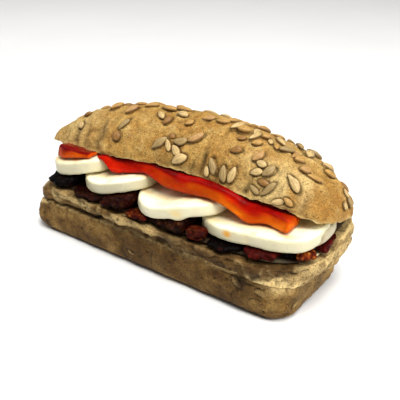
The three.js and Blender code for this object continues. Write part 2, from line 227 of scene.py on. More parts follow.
# ---- materials ----
class Shader:
    """A node material on one Principled shader."""

    def __init__(self, name, **sockets):
        self.material = bpy.data.materials.new(name)
        self.material.use_nodes = True
        self.tree = self.material.node_tree
        self.bsdf = self.tree.nodes["Principled BSDF"]
        for socket, value in sockets.items():
            self.bsdf.inputs[socket.replace("_", " ")].default_value = value
        coordinates = self.tree.nodes.new("ShaderNodeTexCoord")
        self.object = coordinates.outputs["Object"]

    def node(self, kind, **values):
        """A new node, with its settings and its sockets' values."""
        made = self.tree.nodes.new(kind)
        for key, value in values.items():
            if hasattr(made, key):
                setattr(made, key, value)
            else:
                made.inputs[key].default_value = value
        return made

    def join(self, output, target):
        self.tree.links.new(output, target)

    def feed(self, target, value):
        """Joins an output to a socket, or sets the socket to a number or an 8-bit colour."""
        if isinstance(value, tuple):
            target.default_value = srgb(value)
        elif isinstance(value, (int, float)):
            target.default_value = value
        else:
            self.join(value, target)

    def texture(self, kind, scale, stretch, **values):
        """A texture with about so many lumps in a millimetre."""
        mapping = self.node("ShaderNodeMapping", Scale=[s * scale / MM for s in stretch])
        self.join(self.object, mapping.inputs["Vector"])
        made = self.node(kind, Scale=1.0, **values)
        self.join(mapping.outputs["Vector"], made.inputs["Vector"])
        return made.outputs

    def noise(self, scale, detail=4.0, roughness=0.55, stretch=(1, 1, 1)):
        return self.texture("ShaderNodeTexNoise", scale, stretch, Detail=detail, Roughness=roughness)["Fac"]

    def cells(self, scale, stretch=(1, 1, 1)):
        return self.texture("ShaderNodeTexVoronoi", scale, stretch)["Distance"]

    def layer(self, name):
        return self.node("ShaderNodeAttribute", attribute_name=name).outputs["Fac"]

    def ramp(self, value, *stops):
        """stops are (position, colour or grey)."""
        made = self.node("ShaderNodeValToRGB")
        ramp = made.color_ramp
        while len(ramp.elements) < len(stops):
            ramp.elements.new(1.0)
        for element, (position, colour) in zip(ramp.elements, stops):
            element.position = position
            element.color = srgb(colour) if isinstance(colour, tuple) else (colour, colour, colour, 1)
        self.join(value, made.inputs["Fac"])
        return made.outputs["Color"]

    def mix(self, factor, a, b, blend="MIX"):
        made = self.node("ShaderNodeMix", data_type="RGBA", blend_type=blend)
        for socket, value in (("Factor", factor), ("A", a), ("B", b)):
            self.feed(next(s for s in made.inputs if s.name == socket and s.enabled), value)
        return next(s for s in made.outputs if s.enabled)

    def product(self, a, b):
        made = self.node("ShaderNodeMath", operation="MULTIPLY")
        for target, value in zip(made.inputs, (a, b)):
            self.feed(target, value)
        return made.outputs["Value"]

    def bump(self, height, depth, strength=1.0, normal=None):
        """depth is in millimetres."""
        made = self.node("ShaderNodeBump", Strength=strength, Distance=depth * MM)
        self.join(height, made.inputs["Height"])
        if normal is not None:
            self.join(normal, made.inputs["Normal"])
        return made.outputs["Normal"]

    def finish(self, colour=None, roughness=None, normal=None):
        for value, socket in ((colour, "Base Color"), (roughness, "Roughness"), (normal, "Normal")):
            if value is not None:
                self.join(value, self.bsdf.inputs[socket])
        return self.material


def srgb(colour):
    """A linear colour with alpha from 8-bit sRGB values."""
    c = np.array(colour, float) / 255
    return (*np.where(c <= 0.04045, c / 12.92, ((c + 0.055) / 1.055) ** 2.4).tolist(), 1.0)


def bread_material(name, dark, middle, light, bran, flour_and_highlight, crumb):
    """Baked crust: blotches, a fine floury grain and bran specks. The layer "crumb" is 1 on the cut crumb,
    "shade" is painted shade in folds, pores, cracks and hollows, the toast layer browns the crust and also
    holds painted shade and light, and the flour layer pales it with flour and with painted highlights."""
    s = Shader(name, Roughness=0.78, Specular_IOR_Level=0.14)
    blotch = s.ramp(s.noise(0.1, 5, 0.62), (0.3, dark), (0.5, middle), (0.7, light))
    streak = s.ramp(s.noise(0.4, 4, 0.6, (1, 0.6, 0.5)), (0.3, 0.36), (0.5, 0.5), (0.7, 0.64))
    mottled = s.mix(0.75, blotch, streak, "OVERLAY")
    toasted_and_shaded = s.mix(s.layer("toast_and_shade"), mottled, dark)
    floured_and_highlighted = s.mix(s.layer("flour_and_highlight"), toasted_and_shaded, flour_and_highlight)
    grain = s.ramp(s.noise(1.25, 4, 0.75), (0.34, 0.24), (0.5, 0.5), (0.66, 0.8))
    grained = s.mix(0.75, floured_and_highlighted, grain, "OVERLAY")
    flakes = s.ramp(s.cells(0.55, stretch=(1, 1, 1.5)), (0.12, 1.0), (0.25, 0.0))
    chosen = s.ramp(s.noise(0.35, 2), (0.43, 0.0), (0.52, 1.0))
    specked = s.mix(s.product(flakes, chosen), grained, bran)
    crumbed = s.mix(s.layer("crumb"), specked, s.mix(0.5, crumb, grain, "OVERLAY"))
    shaded = s.mix(s.layer("shade"), crumbed, tuple(round(0.32 * c) for c in dark))
    fine = s.bump(s.noise(2.2, 4, 0.75), 0.3, 0.75)
    coarse = s.bump(s.noise(0.75, 3, 0.6), 0.6, 0.6, fine)
    return s.finish(shaded, s.ramp(s.noise(0.8, 3), (0.3, 0.62), (0.7, 0.88)), coarse)


LID_BREAD = bread_material(
    "LidBread", (138, 94, 38), (160, 123, 62), (176, 145, 84), (96, 64, 28), (194, 168, 112), (180, 160, 112)
)
BASE_BREAD = bread_material(
    "BaseBread", (70, 47, 20), (116, 86, 42), (160, 127, 72), (32, 20, 8), (236, 206, 142), (130, 110, 66)
)


def mozzarella_material():
    """The layer "side" paints shade on the upright cut face, and a second layer paints shade on the fifth
    slice behind the fourth; the others are stains, spots, herbs and a yellow-brown tint in front of the
    pepper strips.
    """
    glow = {"Subsurface_Weight": 0.15, "Subsurface_Radius": (1.0, 0.8, 0.45), "Subsurface_Scale": 2.0 * MM}
    s = Shader("Mozzarella", Roughness=0.4, Coat_Weight=0.06, Coat_Roughness=0.3, **glow)
    milks = (0.3, (242, 234, 196)), (0.55, (248, 243, 208)), (0.75, (252, 249, 222))
    milk = s.ramp(s.noise(0.09, 3), *milks)
    wet = s.mix(s.layer("stain"), milk, (232, 196, 96))
    side_shaded = s.mix(s.layer("side"), wet, (192, 184, 150))
    spot = s.mix(s.layer("spot"), side_shaded, (212, 148, 0))
    herb = s.mix(s.layer("herb"), spot, (100, 104, 36))
    tinted = s.mix(s.layer("pepper_edge_tint"), herb, (206, 166, 92))
    dimmed = s.mix(s.layer("painted_shade"), tinted, (150, 132, 96))
    grain = s.bump(s.noise(0.4, 4, 0.6), 0.3, 0.45)
    return s.finish(dimmed, s.ramp(s.noise(0.25, 3), (0.3, 0.24), (0.7, 0.45)), grain)


def pepper_material():
    """The layer "skin" is 1 on the skin, "red" reddens the orange flesh, "dark" darkens skin and flesh
    towards maroon.
    """
    glow = {"Subsurface_Weight": 0.1, "Subsurface_Radius": (1.0, 0.3, 0.1), "Subsurface_Scale": 1.5 * MM}
    s = Shader("RoastedPepper", Roughness=0.3, Specular_IOR_Level=0.04, **glow)
    oranges = (0.3, (172, 58, 5)), (0.52, (198, 82, 7)), (0.75, (228, 122, 16))
    reds = (0.3, (150, 12, 3)), (0.55, (190, 27, 6)), (0.78, (218, 54, 11))
    flesh = s.ramp(s.noise(0.16, stretch=(0.5, 1, 1)), *oranges)
    blush = s.ramp(s.noise(0.2, stretch=(0.5, 1, 1)), *reds)
    red = s.mix(s.layer("red"), flesh, blush)
    skin = s.ramp(s.noise(0.14, 4), (0.3, (106, 4, 2)), (0.6, (160, 9, 3)), (0.8, (200, 28, 8)))
    mixed = s.mix(s.layer("skin"), red, skin)
    deep = s.mix(s.layer("dark"), mixed, (62, 4, 4))
    wrinkle = s.bump(s.noise(0.5, 4, 0.6, (0.4, 1, 1)), 0.4, 0.5)
    return s.finish(deep, s.ramp(s.noise(0.3, 3), (0.3, 0.18), (0.7, 0.36)), wrinkle)


def tomato_material():
    """The layer "seedy" shows orange flesh and tan seeds. The other layer turns the skin from near black,
    partly painted shade, to the maroon of a tomato in the light, partly painted light.
    """
    s = Shader("DriedTomato", Roughness=0.38, Specular_IOR_Level=0.035)
    dark = s.ramp(s.noise(0.25, 5, 0.6), (0.4, (3, 1, 1)), (0.62, (8, 2, 2)), (0.84, (58, 13, 7)))
    maroon = s.ramp(s.noise(0.3, 4, 0.6), (0.3, (46, 6, 4)), (0.55, (74, 14, 9)), (0.78, (118, 34, 25)))
    skin = s.mix(s.layer("lit_maroon"), dark, maroon)
    flesh = s.ramp(s.cells(0.55), (0.12, (226, 168, 84)), (0.3, (176, 84, 24)), (0.65, (84, 26, 12)))
    colour = s.mix(s.layer("seedy"), skin, flesh)
    wrinkle = s.bump(s.noise(0.9, 5, 0.65), 0.6, 0.7)
    return s.finish(colour, s.ramp(s.noise(0.5, 3), (0.3, 0.22), (0.7, 0.5)), wrinkle)


def cream_material():
    glow = {"Subsurface_Weight": 0.2, "Subsurface_Scale": 1.0 * MM}
    s = Shader("CreamSpread", Roughness=0.6, Specular_IOR_Level=0.1, **glow)
    creams = (0.3, (190, 168, 120)), (0.55, (214, 198, 156)), (0.8, (230, 220, 190))
    colour = s.ramp(s.noise(0.3, 4), *creams)
    # A layer darkens the spread almost to black-brown in places.
    darkened = s.mix(s.layer("darkening"), colour, (38, 16, 6))
    return s.finish(darkened, None, s.bump(s.noise(0.8, 4), 0.3, 0.4))


TONES = GREY, PALE, GOLD, BROWN, PINK = 0.1, 0.3, 0.5, 0.7, 0.9


def kernel_material():
    """The layer "tone" picks one of the tones, and "edge" paints shade on a kernel's rim and in its grooves.
    """
    s = Shader("SunflowerKernel", Roughness=0.46, Specular_IOR_Level=0.35)
    colours = [(152, 127, 80), (190, 162, 108), (174, 134, 70), (136, 96, 44), (172, 132, 78)]
    tone = s.ramp(s.layer("tone"), *zip(TONES, colours))
    mottle = s.ramp(s.noise(0.8, 3), (0.3, 0.38), (0.55, 0.52), (0.75, 0.66))
    mottled = s.mix(0.8, tone, mottle, "OVERLAY")
    rimmed = s.mix(s.layer("edge"), mottled, (88, 58, 26))
    return s.finish(rimmed, None, s.bump(s.noise(1.6, 3), 0.25, 0.5))


MOZZARELLA = mozzarella_material()
PEPPER = pepper_material()
TOMATO = tomato_material()
CREAM = cream_material()
KERNEL = kernel_material()

# ---- the roll: the same named shapes as the CAD, with the lumps, folds and pores of baked dough ----
ROLL_LENGTH, ROLL_WIDTH = 164.4, 57.6
HALF_LENGTH, HALF_WIDTH = ROLL_LENGTH / 2, ROLL_WIDTH / 2
GAP = 0.35
FOOT_RADIUS = 5
LEDGE_HEIGHT, LEDGE_FALL, LEDGE_DROP_LEFT, LEDGE_LOWEST = 20, 11, 4, 8
CREASE_DEPTH = 2.4
CUT_HEIGHT, CUT_LOW_X, CUT_RISE_LEFT, CUT_RISE_RIGHT = 26.8, 15, 4.6, 2
CUT_BACK_HEIGHT, CUT_RISE_FROM, CUT_RISE_TO, CUT_HOLLOW = 35, -4, 24, 0.8
SPREAD_THICKNESS, SPREAD_INSET, PRESSED_INSET = 1, 4.6, 2.6
SIDE_SHARES, ARC_SHARE = (0.08, 0.24, 0.08, 0.24), 0.09


def rounded_rectangle(u, outline, drawn_in=0.0):
    left, right, front, back, corners = outline
    left, right, front, back = left + drawn_in, right - drawn_in, front + drawn_in, back - drawn_in
    corners = np.maximum(np.array(corners, float) - drawn_in, 1)
    centres = np.array([[right, back], [left, back], [left, front], [right, front]])
    centres = centres - np.array([[1, 1], [-1, 1], [-1, -1], [1, -1]]) * corners[:, None]
    starts = np.cumsum([0, *[share + ARC_SHARE for share in SIDE_SHARES[:3]]])
    side = np.clip(np.searchsorted(starts, u, side="right") - 1, 0, 3)
    u = u - starts[side]
    shares = np.array(SIDE_SHARES)[side]
    along = np.minimum(u / shares, 1)
    bend = np.clip((u - shares) / ARC_SHARE, 0, 1)
    before = (side + 3) % 4
    radius = lerp(corners[before], corners[side], along)
    angle = (side + bend) * math.pi / 2
    centre = lerp(centres[before], centres[side], along[:, None])
    return centre[:, 0] + radius * np.cos(angle), centre[:, 1] + radius * np.sin(angle)


def superellipse(u, a, b, power):
    c, s = np.cos(u * math.tau), np.sin(u * math.tau)
    gauge = (np.abs(c) ** power + np.abs(s) ** power) ** (1 / power)
    return a * c / gauge, b * s / gauge


TIN_CORNERS = (12.5, 12.5, 12.5, 12.5)
TIN_FOOT = (-HALF_LENGTH + 0.8, HALF_LENGTH - 7.6, -27.2, 27.8, TIN_CORNERS)
TIN_WIDEST = (-HALF_LENGTH, HALF_LENGTH - 7.2, -27.8, 28.2, TIN_CORNERS)
TIN_TOP = (-HALF_LENGTH + 3.2, HALF_LENGTH - 6.6, -27.6, 28, TIN_CORNERS)
LOBE_FOOT = (-HALF_LENGTH + 5, HALF_LENGTH - 4.8, -27.6, 28, (12, 14, 14, 16))
LOBE_MIDDLE = (-HALF_LENGTH + 8.4, HALF_LENGTH - 0.4, -HALF_WIDTH + 0.2, HALF_WIDTH, (12, 15, 15, 22))
LOBE_TOP = (-HALF_LENGTH + 13.6, HALF_LENGTH, -HALF_WIDTH, HALF_WIDTH, (12, 16, 16, 26))


def ledge_height(x, y):
    fall = LEDGE_FALL * (y + HALF_WIDTH) / ROLL_WIDTH
    drop = LEDGE_DROP_LEFT * (1 - smooth(x, -HALF_LENGTH, -HALF_LENGTH + 22))
    return np.maximum(LEDGE_HEIGHT - fall - drop, LEDGE_LOWEST)


def cut_height(x, y):
    reach = (x - CUT_LOW_X) / np.where(x < CUT_LOW_X, HALF_LENGTH + CUT_LOW_X, HALF_LENGTH - CUT_LOW_X)
    front = CUT_HEIGHT + np.where(x < CUT_LOW_X, CUT_RISE_LEFT, CUT_RISE_RIGHT) * reach**2
    return lerp(front, CUT_BACK_HEIGHT, smooth(y, CUT_RISE_FROM, CUT_RISE_TO))


def bun_top(x, y):
    return cut_height(x, y) - CUT_HOLLOW


def spread_top(x, y):
    return bun_top(x, y) + 1.5 * GAP + SPREAD_THICKNESS


# Each level of the lower half: its outline, how far it is drawn in, and its height as shares of the ledge's
# and of the cut's height and a length.
BOTTOM_LEVELS = [
    (TIN_FOOT, FOOT_RADIUS, (0, 0, 0)),
    (TIN_FOOT, FOOT_RADIUS * 0.5, (0, 0, FOOT_RADIUS * 0.13)),
    (TIN_FOOT, FOOT_RADIUS * 0.13, (0, 0, FOOT_RADIUS * 0.5)),
    (TIN_WIDEST, 0, (0.45, 0, 0)),
    (TIN_TOP, 0.2, (1, 0, -1.6)),
    (TIN_TOP, 1.2, (1, 0, -0.2)),
    (TIN_TOP, CREASE_DEPTH, (1, 0, 0.5)),
    (LOBE_FOOT, 0.8, (1, 0, 1.8)),
    (LOBE_MIDDLE, 0, (0.5, 0.5, 0)),
    (LOBE_TOP, 0, (0.15, 0.85, 0)),
    (LOBE_TOP, 0.8, (0, 1, 0)),
]
CAP_SCALES = (1, 0.985, 0.97, 0.955, 0.94, 0.92, 0.9, 0.87, 0.84, 0.81, 0.78, 0.52, 0.26, 0)
CUT_CENTRE = (6.0, 0.0)

# Kernels baked flat into the crust of the bottom half: both ends and half the width.
PRESSED_KERNELS = [
    ((47.0, -28.2, 18.4), (53.0, -28.2, 12.4), 1.8),
    ((59.0, -28.2, 15.0), (65.0, -28.2, 13.8), 2.0),
    ((73.4, -22.4, 26.4), (77.0, -14.8, 28.8), 1.9),
    ((67.5, -28.5, 25.4), (73.0, -27.8, 25.8), 2.2),
    ((72.0, -28.0, 11.0), (75.5, -25.5, 14.0), 1.7),
    ((75.0, -21.0, 6.0), (75.4, -16.5, 9.0), 1.9),
    ((80.0, -20.0, 24.0), (82.0, -13.5, 26.0), 1.6),
    ((40.5, -28.6, 22.8), (46.0, -28.6, 21.4), 1.4),
    ((-12.0, -28.0, 9.0), (-7.0, -28.0, 7.5), 1.4),
]


def pressed_in(points):
    """The outline of each pressed kernel, which gets painted shade, and its inside, both from 0 to 1."""
    outline, inside = np.zeros(points.shape[:-1]), np.zeros(points.shape[:-1])
    broken = smooth(noise(points, 2.4, 47), -0.8, 0.0)
    for start, end, half_width in PRESSED_KERNELS:
        middle, reach = (np.array(start) + end) / 2, (np.array(end) - start) / 2
        along = (points - middle) @ reach / (reach @ reach)
        aside = np.linalg.norm(points - middle - along[..., None] * reach, axis=-1) / half_width
        gauge = np.hypot(along, aside)
        outline = np.maximum(outline, bell(gauge - 1, 0.17) * broken)
        inside = np.maximum(inside, smooth(-gauge, -1, -0.6))
    return outline, inside


def bottom_half(columns=620, rows=140):
    u = np.arange(columns) / columns
    levels = [np.zeros((columns, 3))]
    for outline, drawn_in, (of_ledge, of_cut, more) in BOTTOM_LEVELS:
        x, y = rounded_rectangle(u, outline, drawn_in)
        z = of_ledge * ledge_height(x, y) + of_cut * cut_height(x, y) + more
        levels.append(joined(x, y, z))
    rim_x, rim_y = rounded_rectangle(u, LOBE_TOP, PRESSED_INSET)
    for scale in CAP_SCALES:
        x, y = lerp(CUT_CENTRE[0], rim_x, scale), lerp(CUT_CENTRE[1], rim_y, scale)
        levels.append(joined(x, y, bun_top(x, y)))
    levels = np.array(levels)
    side = refine(levels[1:13], rows, 50)
    grid = np.concatenate([levels[:1], levels[1:2] * 0.5, side, levels[13:]])
    n = normals_of(grid)
    x, y, z = split(grid)
    ledge = ledge_height(x, y)
    wall = smooth(z, 0.4, 4) * (1 - np.clip(n[..., 2], 0, 1) ** 3)
    lobe = smooth(z - ledge, 0.5, 2.5)
    crust = 0.6 * lumps(grid, 14, 2, 3) + (0.3 + 0.35 * lobe) * lumps(grid, 4.5, 3, 9)
    crust += 0.2 * lumps(grid, 1.3, 2, 21)
    crust += lobe * (1.0 * noise(grid, (10, 10, 5), 23) + 0.8 * noise(grid, (5, 5, 9), 25))
    bumps = lumps(grid, 3.4, 3, 29)
    crust += (0.2 + 0.35 * lobe) * bumps
    pore, small_pore = pits(grid, 4.4, 31), pits(grid, 2.0, 37)
    pored = smooth(-pore, -0.24, -0.06)
    crust -= 0.7 * pored + 0.3 * smooth(-small_pore, -0.34, -0.1)
    crack = smooth(-np.abs(noise(grid, (11, 11, 8), 39)), -0.05, -0.01)
    crack *= smooth(noise(grid, 19, 40), -0.1, 0.3)
    crust -= 0.35 * crack
    # The crease runs from the left end and fades out right of the middle, as on the dough in its tin.
    depth = 1 - 0.9 * smooth(x, 2, 52) * smooth(-y, 0, 20)
    wander = 1.3 * noise(grid, (11, 11, 40), 24) + 0.5 * noise(grid, (4, 4, 40), 26)
    creasing = bell(z - ledge - 0.9 - wander, 0.85) * depth
    crust -= creasing * (1.3 + 0.6 * noise(grid, (7, 7, 3), 41))
    crust += (1 - depth) * 2.0 * bell(z - ledge - 1.4, 1.8)
    pressed, kernel = pressed_in(grid)
    crust += 0.3 * kernel - 0.5 * pressed
    fissure = smooth(-np.abs(noise(grid, (6, 6, 1.7), 27)), -0.1, -0.02) * lobe
    fissure *= smooth(noise(grid, 8, 28), -0.4, 0.3)
    crust -= 0.5 * fissure
    moved = pushed(grid, crust * wall)
    k = np.arange(len(grid))[:, None] + 0 * x
    curl = smooth(-x, 60, 73) * between(k, 0.55 * rows, 0.9 * rows, rows, rows + 2)
    moved[..., 2] += 2.4 * curl
    on_top = smooth(n[..., 2], 0.6, 0.9) * smooth(z, 20, 24)
    inside = smooth(k, rows + 5, rows + 9)
    moved[..., 2] += on_top * 0.6 * lumps(grid, 3.2, 3, 51) * (1 - inside) - 0.2 * on_top
    # Painted shade in the crease, pores, cracks, pressed kernels' outlines, fissures, hollows between bumps
    # and along the bottom edge.
    shades = [
        np.clip(creasing * (0.75 + 0.4 * noise(grid, (9, 9, 3), 43)), 0, 0.95) * (1 - on_top),
        0.85 * np.maximum.reduce([pored, 0.8 * crack, pressed]) * wall,
        (0.6 - 0.3 * smooth(x, 0, 14)) * fissure,
        0.5 * smooth(-bumps, 0.15, 0.9) * (0.4 + 0.6 * lobe),
        0.3 * smooth(-z, -3, 0),
    ]
    # Painted highlights along the top of the ledge, on the near right corner, the lobe's shoulder, its lumps
    # and raised bumps, painted light on the right end, and paler insides of pressed kernels.
    edge = bell(z - ledge + 0.6 - 2.0 * smooth(x, 42, 60), 1.2 + 0.6 * smooth(x, 44, 62))
    broken = smooth(lumps(grid, 3, 2, 44), -0.7, 0.3)
    ledge_highlight = edge * (0.3 + 0.7 * smooth(x, 42, 60) + 0.55 * smooth(-x, 40, 62)) * broken
    ledge_highlight *= 1 - 0.6 * smooth(y, -24, -16) * smooth(x, 0, 20)
    corner = spot_at(grid, 71.5, -26.5, 20, (7, 6, 3.4)) * smooth(lumps(grid, 2.4, 2, 50), -1.2, -0.2)
    ledge_highlight = np.maximum(ledge_highlight, corner)
    lobe_highlight = lobe * smooth(lumps(grid, (5, 5, 3), 2, 45), 0.1, 0.9) * (0.35 + 0.5 * smooth(x, 62, 78))
    shoulder_highlight = bell(z - lerp(ledge, cut_height(x, y), 0.62), 2.4) * (1 - smooth(x, 5, 30))
    shoulder_highlight *= smooth(noise(grid, (7, 7, 3), 46), -0.5, 0.5)
    right_end_light = smooth(x, 72, 79) * (0.2 + 0.3 * lobe * smooth(noise(grid, (4, 4, 3), 48), -0.5, 0.4))
    flour_and_highlight = np.clip(0.95 * ledge_highlight + 0.35 * lobe_highlight + 0.5 * shoulder_highlight + right_end_light + 0.15 * kernel, 0, 0.95)
    flour_and_highlight = np.maximum(flour_and_highlight, 0.28 * smooth(bumps, 0.3, 1.1) * lobe)
    flour_and_highlight *= 1 - 0.6 * lobe * between(x, -2, 12, 50, 62)
    # Browned crust, with painted shade darkening the lobe and painted light paling the right end.
    toast_and_shade = 0.4 + 0.5 * lumps(grid, 18, 2, 61) + 0.5 * lobe * smooth(x, 0, 30)
    toast_and_shade = np.clip(toast_and_shade - 0.5 * smooth(x, 66, 78), 0, 0.85)
    moved[1:-1, :, 2] = np.maximum(moved[1:-1, :, 2], 0)
    layers = {"crumb": inside, "shade": np.maximum.reduce(shades), "toast_and_shade": toast_and_shade, "flour_and_highlight": flour_and_highlight}
    ring_piece("bread_bottom", moved, BASE_BREAD, "bottom_bun", layers)


bottom_half()

# ---- the lid ----
LID_HALF_LENGTH, LID_HALF_WIDTH, LID_HEIGHT = 81, 23.3, 27.5
LID_CENTRE, LID_TILT, LID_PITCH = (1.2, 6.25, 43.2), 16, 0.8
LID_POWER_LEFT, LID_POWER_RIGHT, DOME_POWER = 2.7, 4.4, 1.9
ARCH_FRONT, DROOP_LEFT, DROOP_RIGHT, FALL_LEFT, TIP_REACH, LID_HOLLOW = 3, 2.4, 3.2, 3, 7.5, 5


def lid_share(x, y):
    power = np.where(x < 0, LID_POWER_LEFT, LID_POWER_RIGHT)
    return (np.abs(x / LID_HALF_LENGTH) ** power + np.abs(y / LID_HALF_WIDTH) ** power) ** (1 / power)


def lid_rim(u, share):
    power = np.where(np.cos(u * math.tau) < 0, LID_POWER_LEFT, LID_POWER_RIGHT)
    return superellipse(u, LID_HALF_LENGTH * share, LID_HALF_WIDTH * share, power)


def cut_of_lid(x, y):
    frontness = (LID_HALF_WIDTH - y) / (2 * LID_HALF_WIDTH)
    front_rise = ARCH_FRONT * (smooth(x, -38, 2) - smooth(x, 18, 50)) - DROOP_LEFT * smooth(-x, 30, 78)
    return front_rise * frontness - DROOP_RIGHT * smooth(x, 56, 78)


def tip_at(x, y):
    """How far the front left corner of the rim is drawn out to the left."""
    corner = smooth(-x, 46, LID_HALF_LENGTH) * smooth(-y, -8, LID_HALF_WIDTH)
    return -TIP_REACH * corner * lid_share(x, y) ** 8


def lid_crust_point(x, y):
    share = np.minimum(lid_share(x, y), 1)
    rise = (1 - share**DOME_POWER) ** (1 / DOME_POWER)
    top = LID_HEIGHT - FALL_LEFT * smooth(-x, 45, LID_HALF_LENGTH)
    return joined(x + tip_at(x, y), y, lerp(cut_of_lid(x, y), top, rise))


def lid_under_point(x, y):
    return joined(x + tip_at(x, y), y, cut_of_lid(x, y) + LID_HOLLOW * (1 - lid_share(x, y) ** 2))


def lid_placed(points):
    """From the lid's own frame to the design frame."""
    x, y, z = split(points)
    x, z = turned(LID_PITCH, x, z)
    y, z = turned(-LID_TILT, y, z)
    return joined(x, y, z) + LID_CENTRE


# Kernels where they are seen, in the lid's own frame: x, y, turn in degrees, length, width and tone.
KERNELS = [
    (-53.3, -5.2, 41, 5.5, 3.4, GOLD), (-43.1, -7.7, 59, 8.2, 4.4, GOLD),
    (-40.1, -4.1, 40, 5, 3, BROWN), (-30.7, -10.9, 61, 7.6, 4.2, PINK),
    (-34.9, 0.4, 39, 6.5, 3.6, GOLD), (-24.5, -4, 42, 7.5, 4.2, GOLD),
    (-13.5, -5, 354, 8.7, 4.2, GOLD), (-6.6, -1.7, 12, 8.4, 4, GOLD),
    (-12.6, -11.5, 321, 6.6, 3.4, PALE), (-7, -13.6, 84, 5.8, 3.9, BROWN),
    (-2.5, -8.5, 350, 6.6, 4, PALE), (4.5, -12.4, 47, 4.6, 3.2, GOLD),
    (11.5, -7.2, 37, 6, 3.8, PINK), (-29.3, -17.7, 54, 7.6, 3.2, GREY),
    (-29.7, -20.8, 281, 5.3, 4.8, BROWN), (-4.5, -21.2, 45, 8.6, 4.2, GREY),
    (0.6, -21.2, 303, 6.4, 3, PALE), (5.9, -19.8, 16, 7, 4, GREY),
    (5.5, -21.7, 319, 7.1, 3.6, PALE), (8.7, -22.7, 33, 8.4, 4.6, PALE),
    (12.8, -17.8, 45, 8.6, 4.1, PINK), (0.2, -18.9, 346, 3.8, 2.8, BROWN),
    (18.8, -6.6, 22, 6.4, 4, GOLD), (21.3, -2.2, 76, 7.5, 4, GOLD),
    (24, 5, 28, 6, 3.4, GOLD), (27.1, -7.3, 78, 8.4, 3.8, PALE),
    (31, -8.6, 9, 6.6, 5, GOLD), (34.6, -4, 102, 8, 3.2, PALE),
    (37.2, -8.4, 91, 8.6, 3.2, PALE), (40.5, -5.6, 65, 4.6, 4.2, GOLD),
    (33.1, -13, 31, 4, 2.6, BROWN), (40.5, -12.4, 38, 4.6, 3.4, GOLD),
    (34.2, -17.7, 25, 5.6, 3.6, BROWN), (44.9, -17.1, 67, 6, 4, PINK),
    (47.7, -18.5, 1, 4.8, 3.4, PALE), (47.2, -20.4, 30, 5.6, 3.4, PALE),
    (52.0, -19.2, 65, 6.8, 4.2, GREY), (51.4, -21.3, 12, 6, 2.9, BROWN),
    (43.2, -5.6, 306, 6, 2.8, PALE), (45.2, -0.9, 323, 8.8, 3.4, PALE),
    (47.6, -7.7, 305, 6.6, 2.8, GOLD), (52, -6.8, 62, 8.6, 4.2, GREY),
    (55.8, -4.9, 103, 8.6, 2.8, PINK), (59.2, -7.8, 64, 5.4, 4.8, GOLD),
    (63.8, -11, 53, 5.2, 4.6, PINK), (68.5, -10.1, 45, 7.8, 3, GOLD),
    (26.8, -22.3, 304, 8.2, 3.6, GREY), (32.6, -22.6, 296, 7.6, 3.8, GREY),
    (36.8, -22.3, 272, 7.4, 3.8, PALE), (24.4, -23, 293, 5, 2.6, PALE),
    (40.2, 8.5, 24, 6, 3.2, GOLD), (63.5, -18.1, 345, 9, 3.8, PALE),
    (54.4, -21.55, 74, 8, 3, GREY), (48.4, -22.4, 350, 5.6, 2.6, GREY),
    (68.2, 6.1, 46, 6.4, 4.2, GOLD), (73.4, 12.6, 6, 6, 3.4, BROWN),
    (76.4, 6.2, 344, 4.6, 3, PALE), (78.6, 6.6, 338, 5.6, 4.2, GREY),
    (79.4, 0.6, 328, 3.6, 3, PALE), (59.4, -21.7, 75, 5.4, 2.8, PALE),
    (63.8, -20.8, 20, 5, 2.7, GOLD), (-58.4, -15.8, 287, 4.8, 4.2, PALE),
    (-59.8, -10.1, 6, 4.8, 3.4, BROWN),
]


KERNEL_TRIES, KERNEL_SPACING, KERNEL_LENGTH, KERNEL_WIDTH, KERNEL_SEED = 1200, 7.5, 8.4, 4.3, 7


def lid_sites():
    """The kernels above, and more over the back of the lid, each at a tried place clear of the rest."""
    rng = np.random.default_rng(KERNEL_SEED)
    sites = list(KERNELS)
    for _ in range(KERNEL_TRIES):
        x, y = rng.uniform(-74, 76), rng.uniform(6, 22.6)
        clear = all(math.hypot(x - site[0], (y - site[1]) * 1.6) > KERNEL_SPACING for site in sites)
        if clear and lid_share(np.array(x), np.array(y)) < 0.96:
            size = rng.uniform(0.8, 1.08)
            turn, tone = rng.uniform(0, 360), rng.choice([GREY, PALE, GOLD, PINK])
            sites.append((x, y, turn, KERNEL_LENGTH * size, KERNEL_WIDTH * size, tone))
    return sites


def lid_axes(x, y):
    """A point of the crust with its own directions to the right, to the back and outwards."""
    step = 0.8
    place = np.array([[x, y], [x + step, y], [x - step, y], [x, y + step], [x, y - step]])
    here, right, left, behind, before = lid_crust_point(*place.T)
    east, north = right - left, behind - before
    up = np.cross(east, north)
    up, east = up / np.linalg.norm(up), east / np.linalg.norm(east)
    return here, east, np.cross(up, east), up


SITES = lid_sites()

# Folds that run up from the front edge: x, width, depth, and the height where each ends.
FOLDS = [
    (-66.5, 1.3, 0.6, 9),
    (-58.5, 1.8, 0.8, 14),
    (-51, 1.2, 0.6, 13),
    (-41.5, 2.4, 1.3, 18),
    (-24, 1.0, 0.5, 9),
    (15.5, 1.0, 0.9, 13),
    (20.5, 1.2, 1.2, 17),
    (25, 0.8, 0.7, 12),
    (29.6, 0.8, 0.8, 11),
    (44.5, 1.2, 0.7, 10),
    (70, 1.2, 0.5, 10),
]


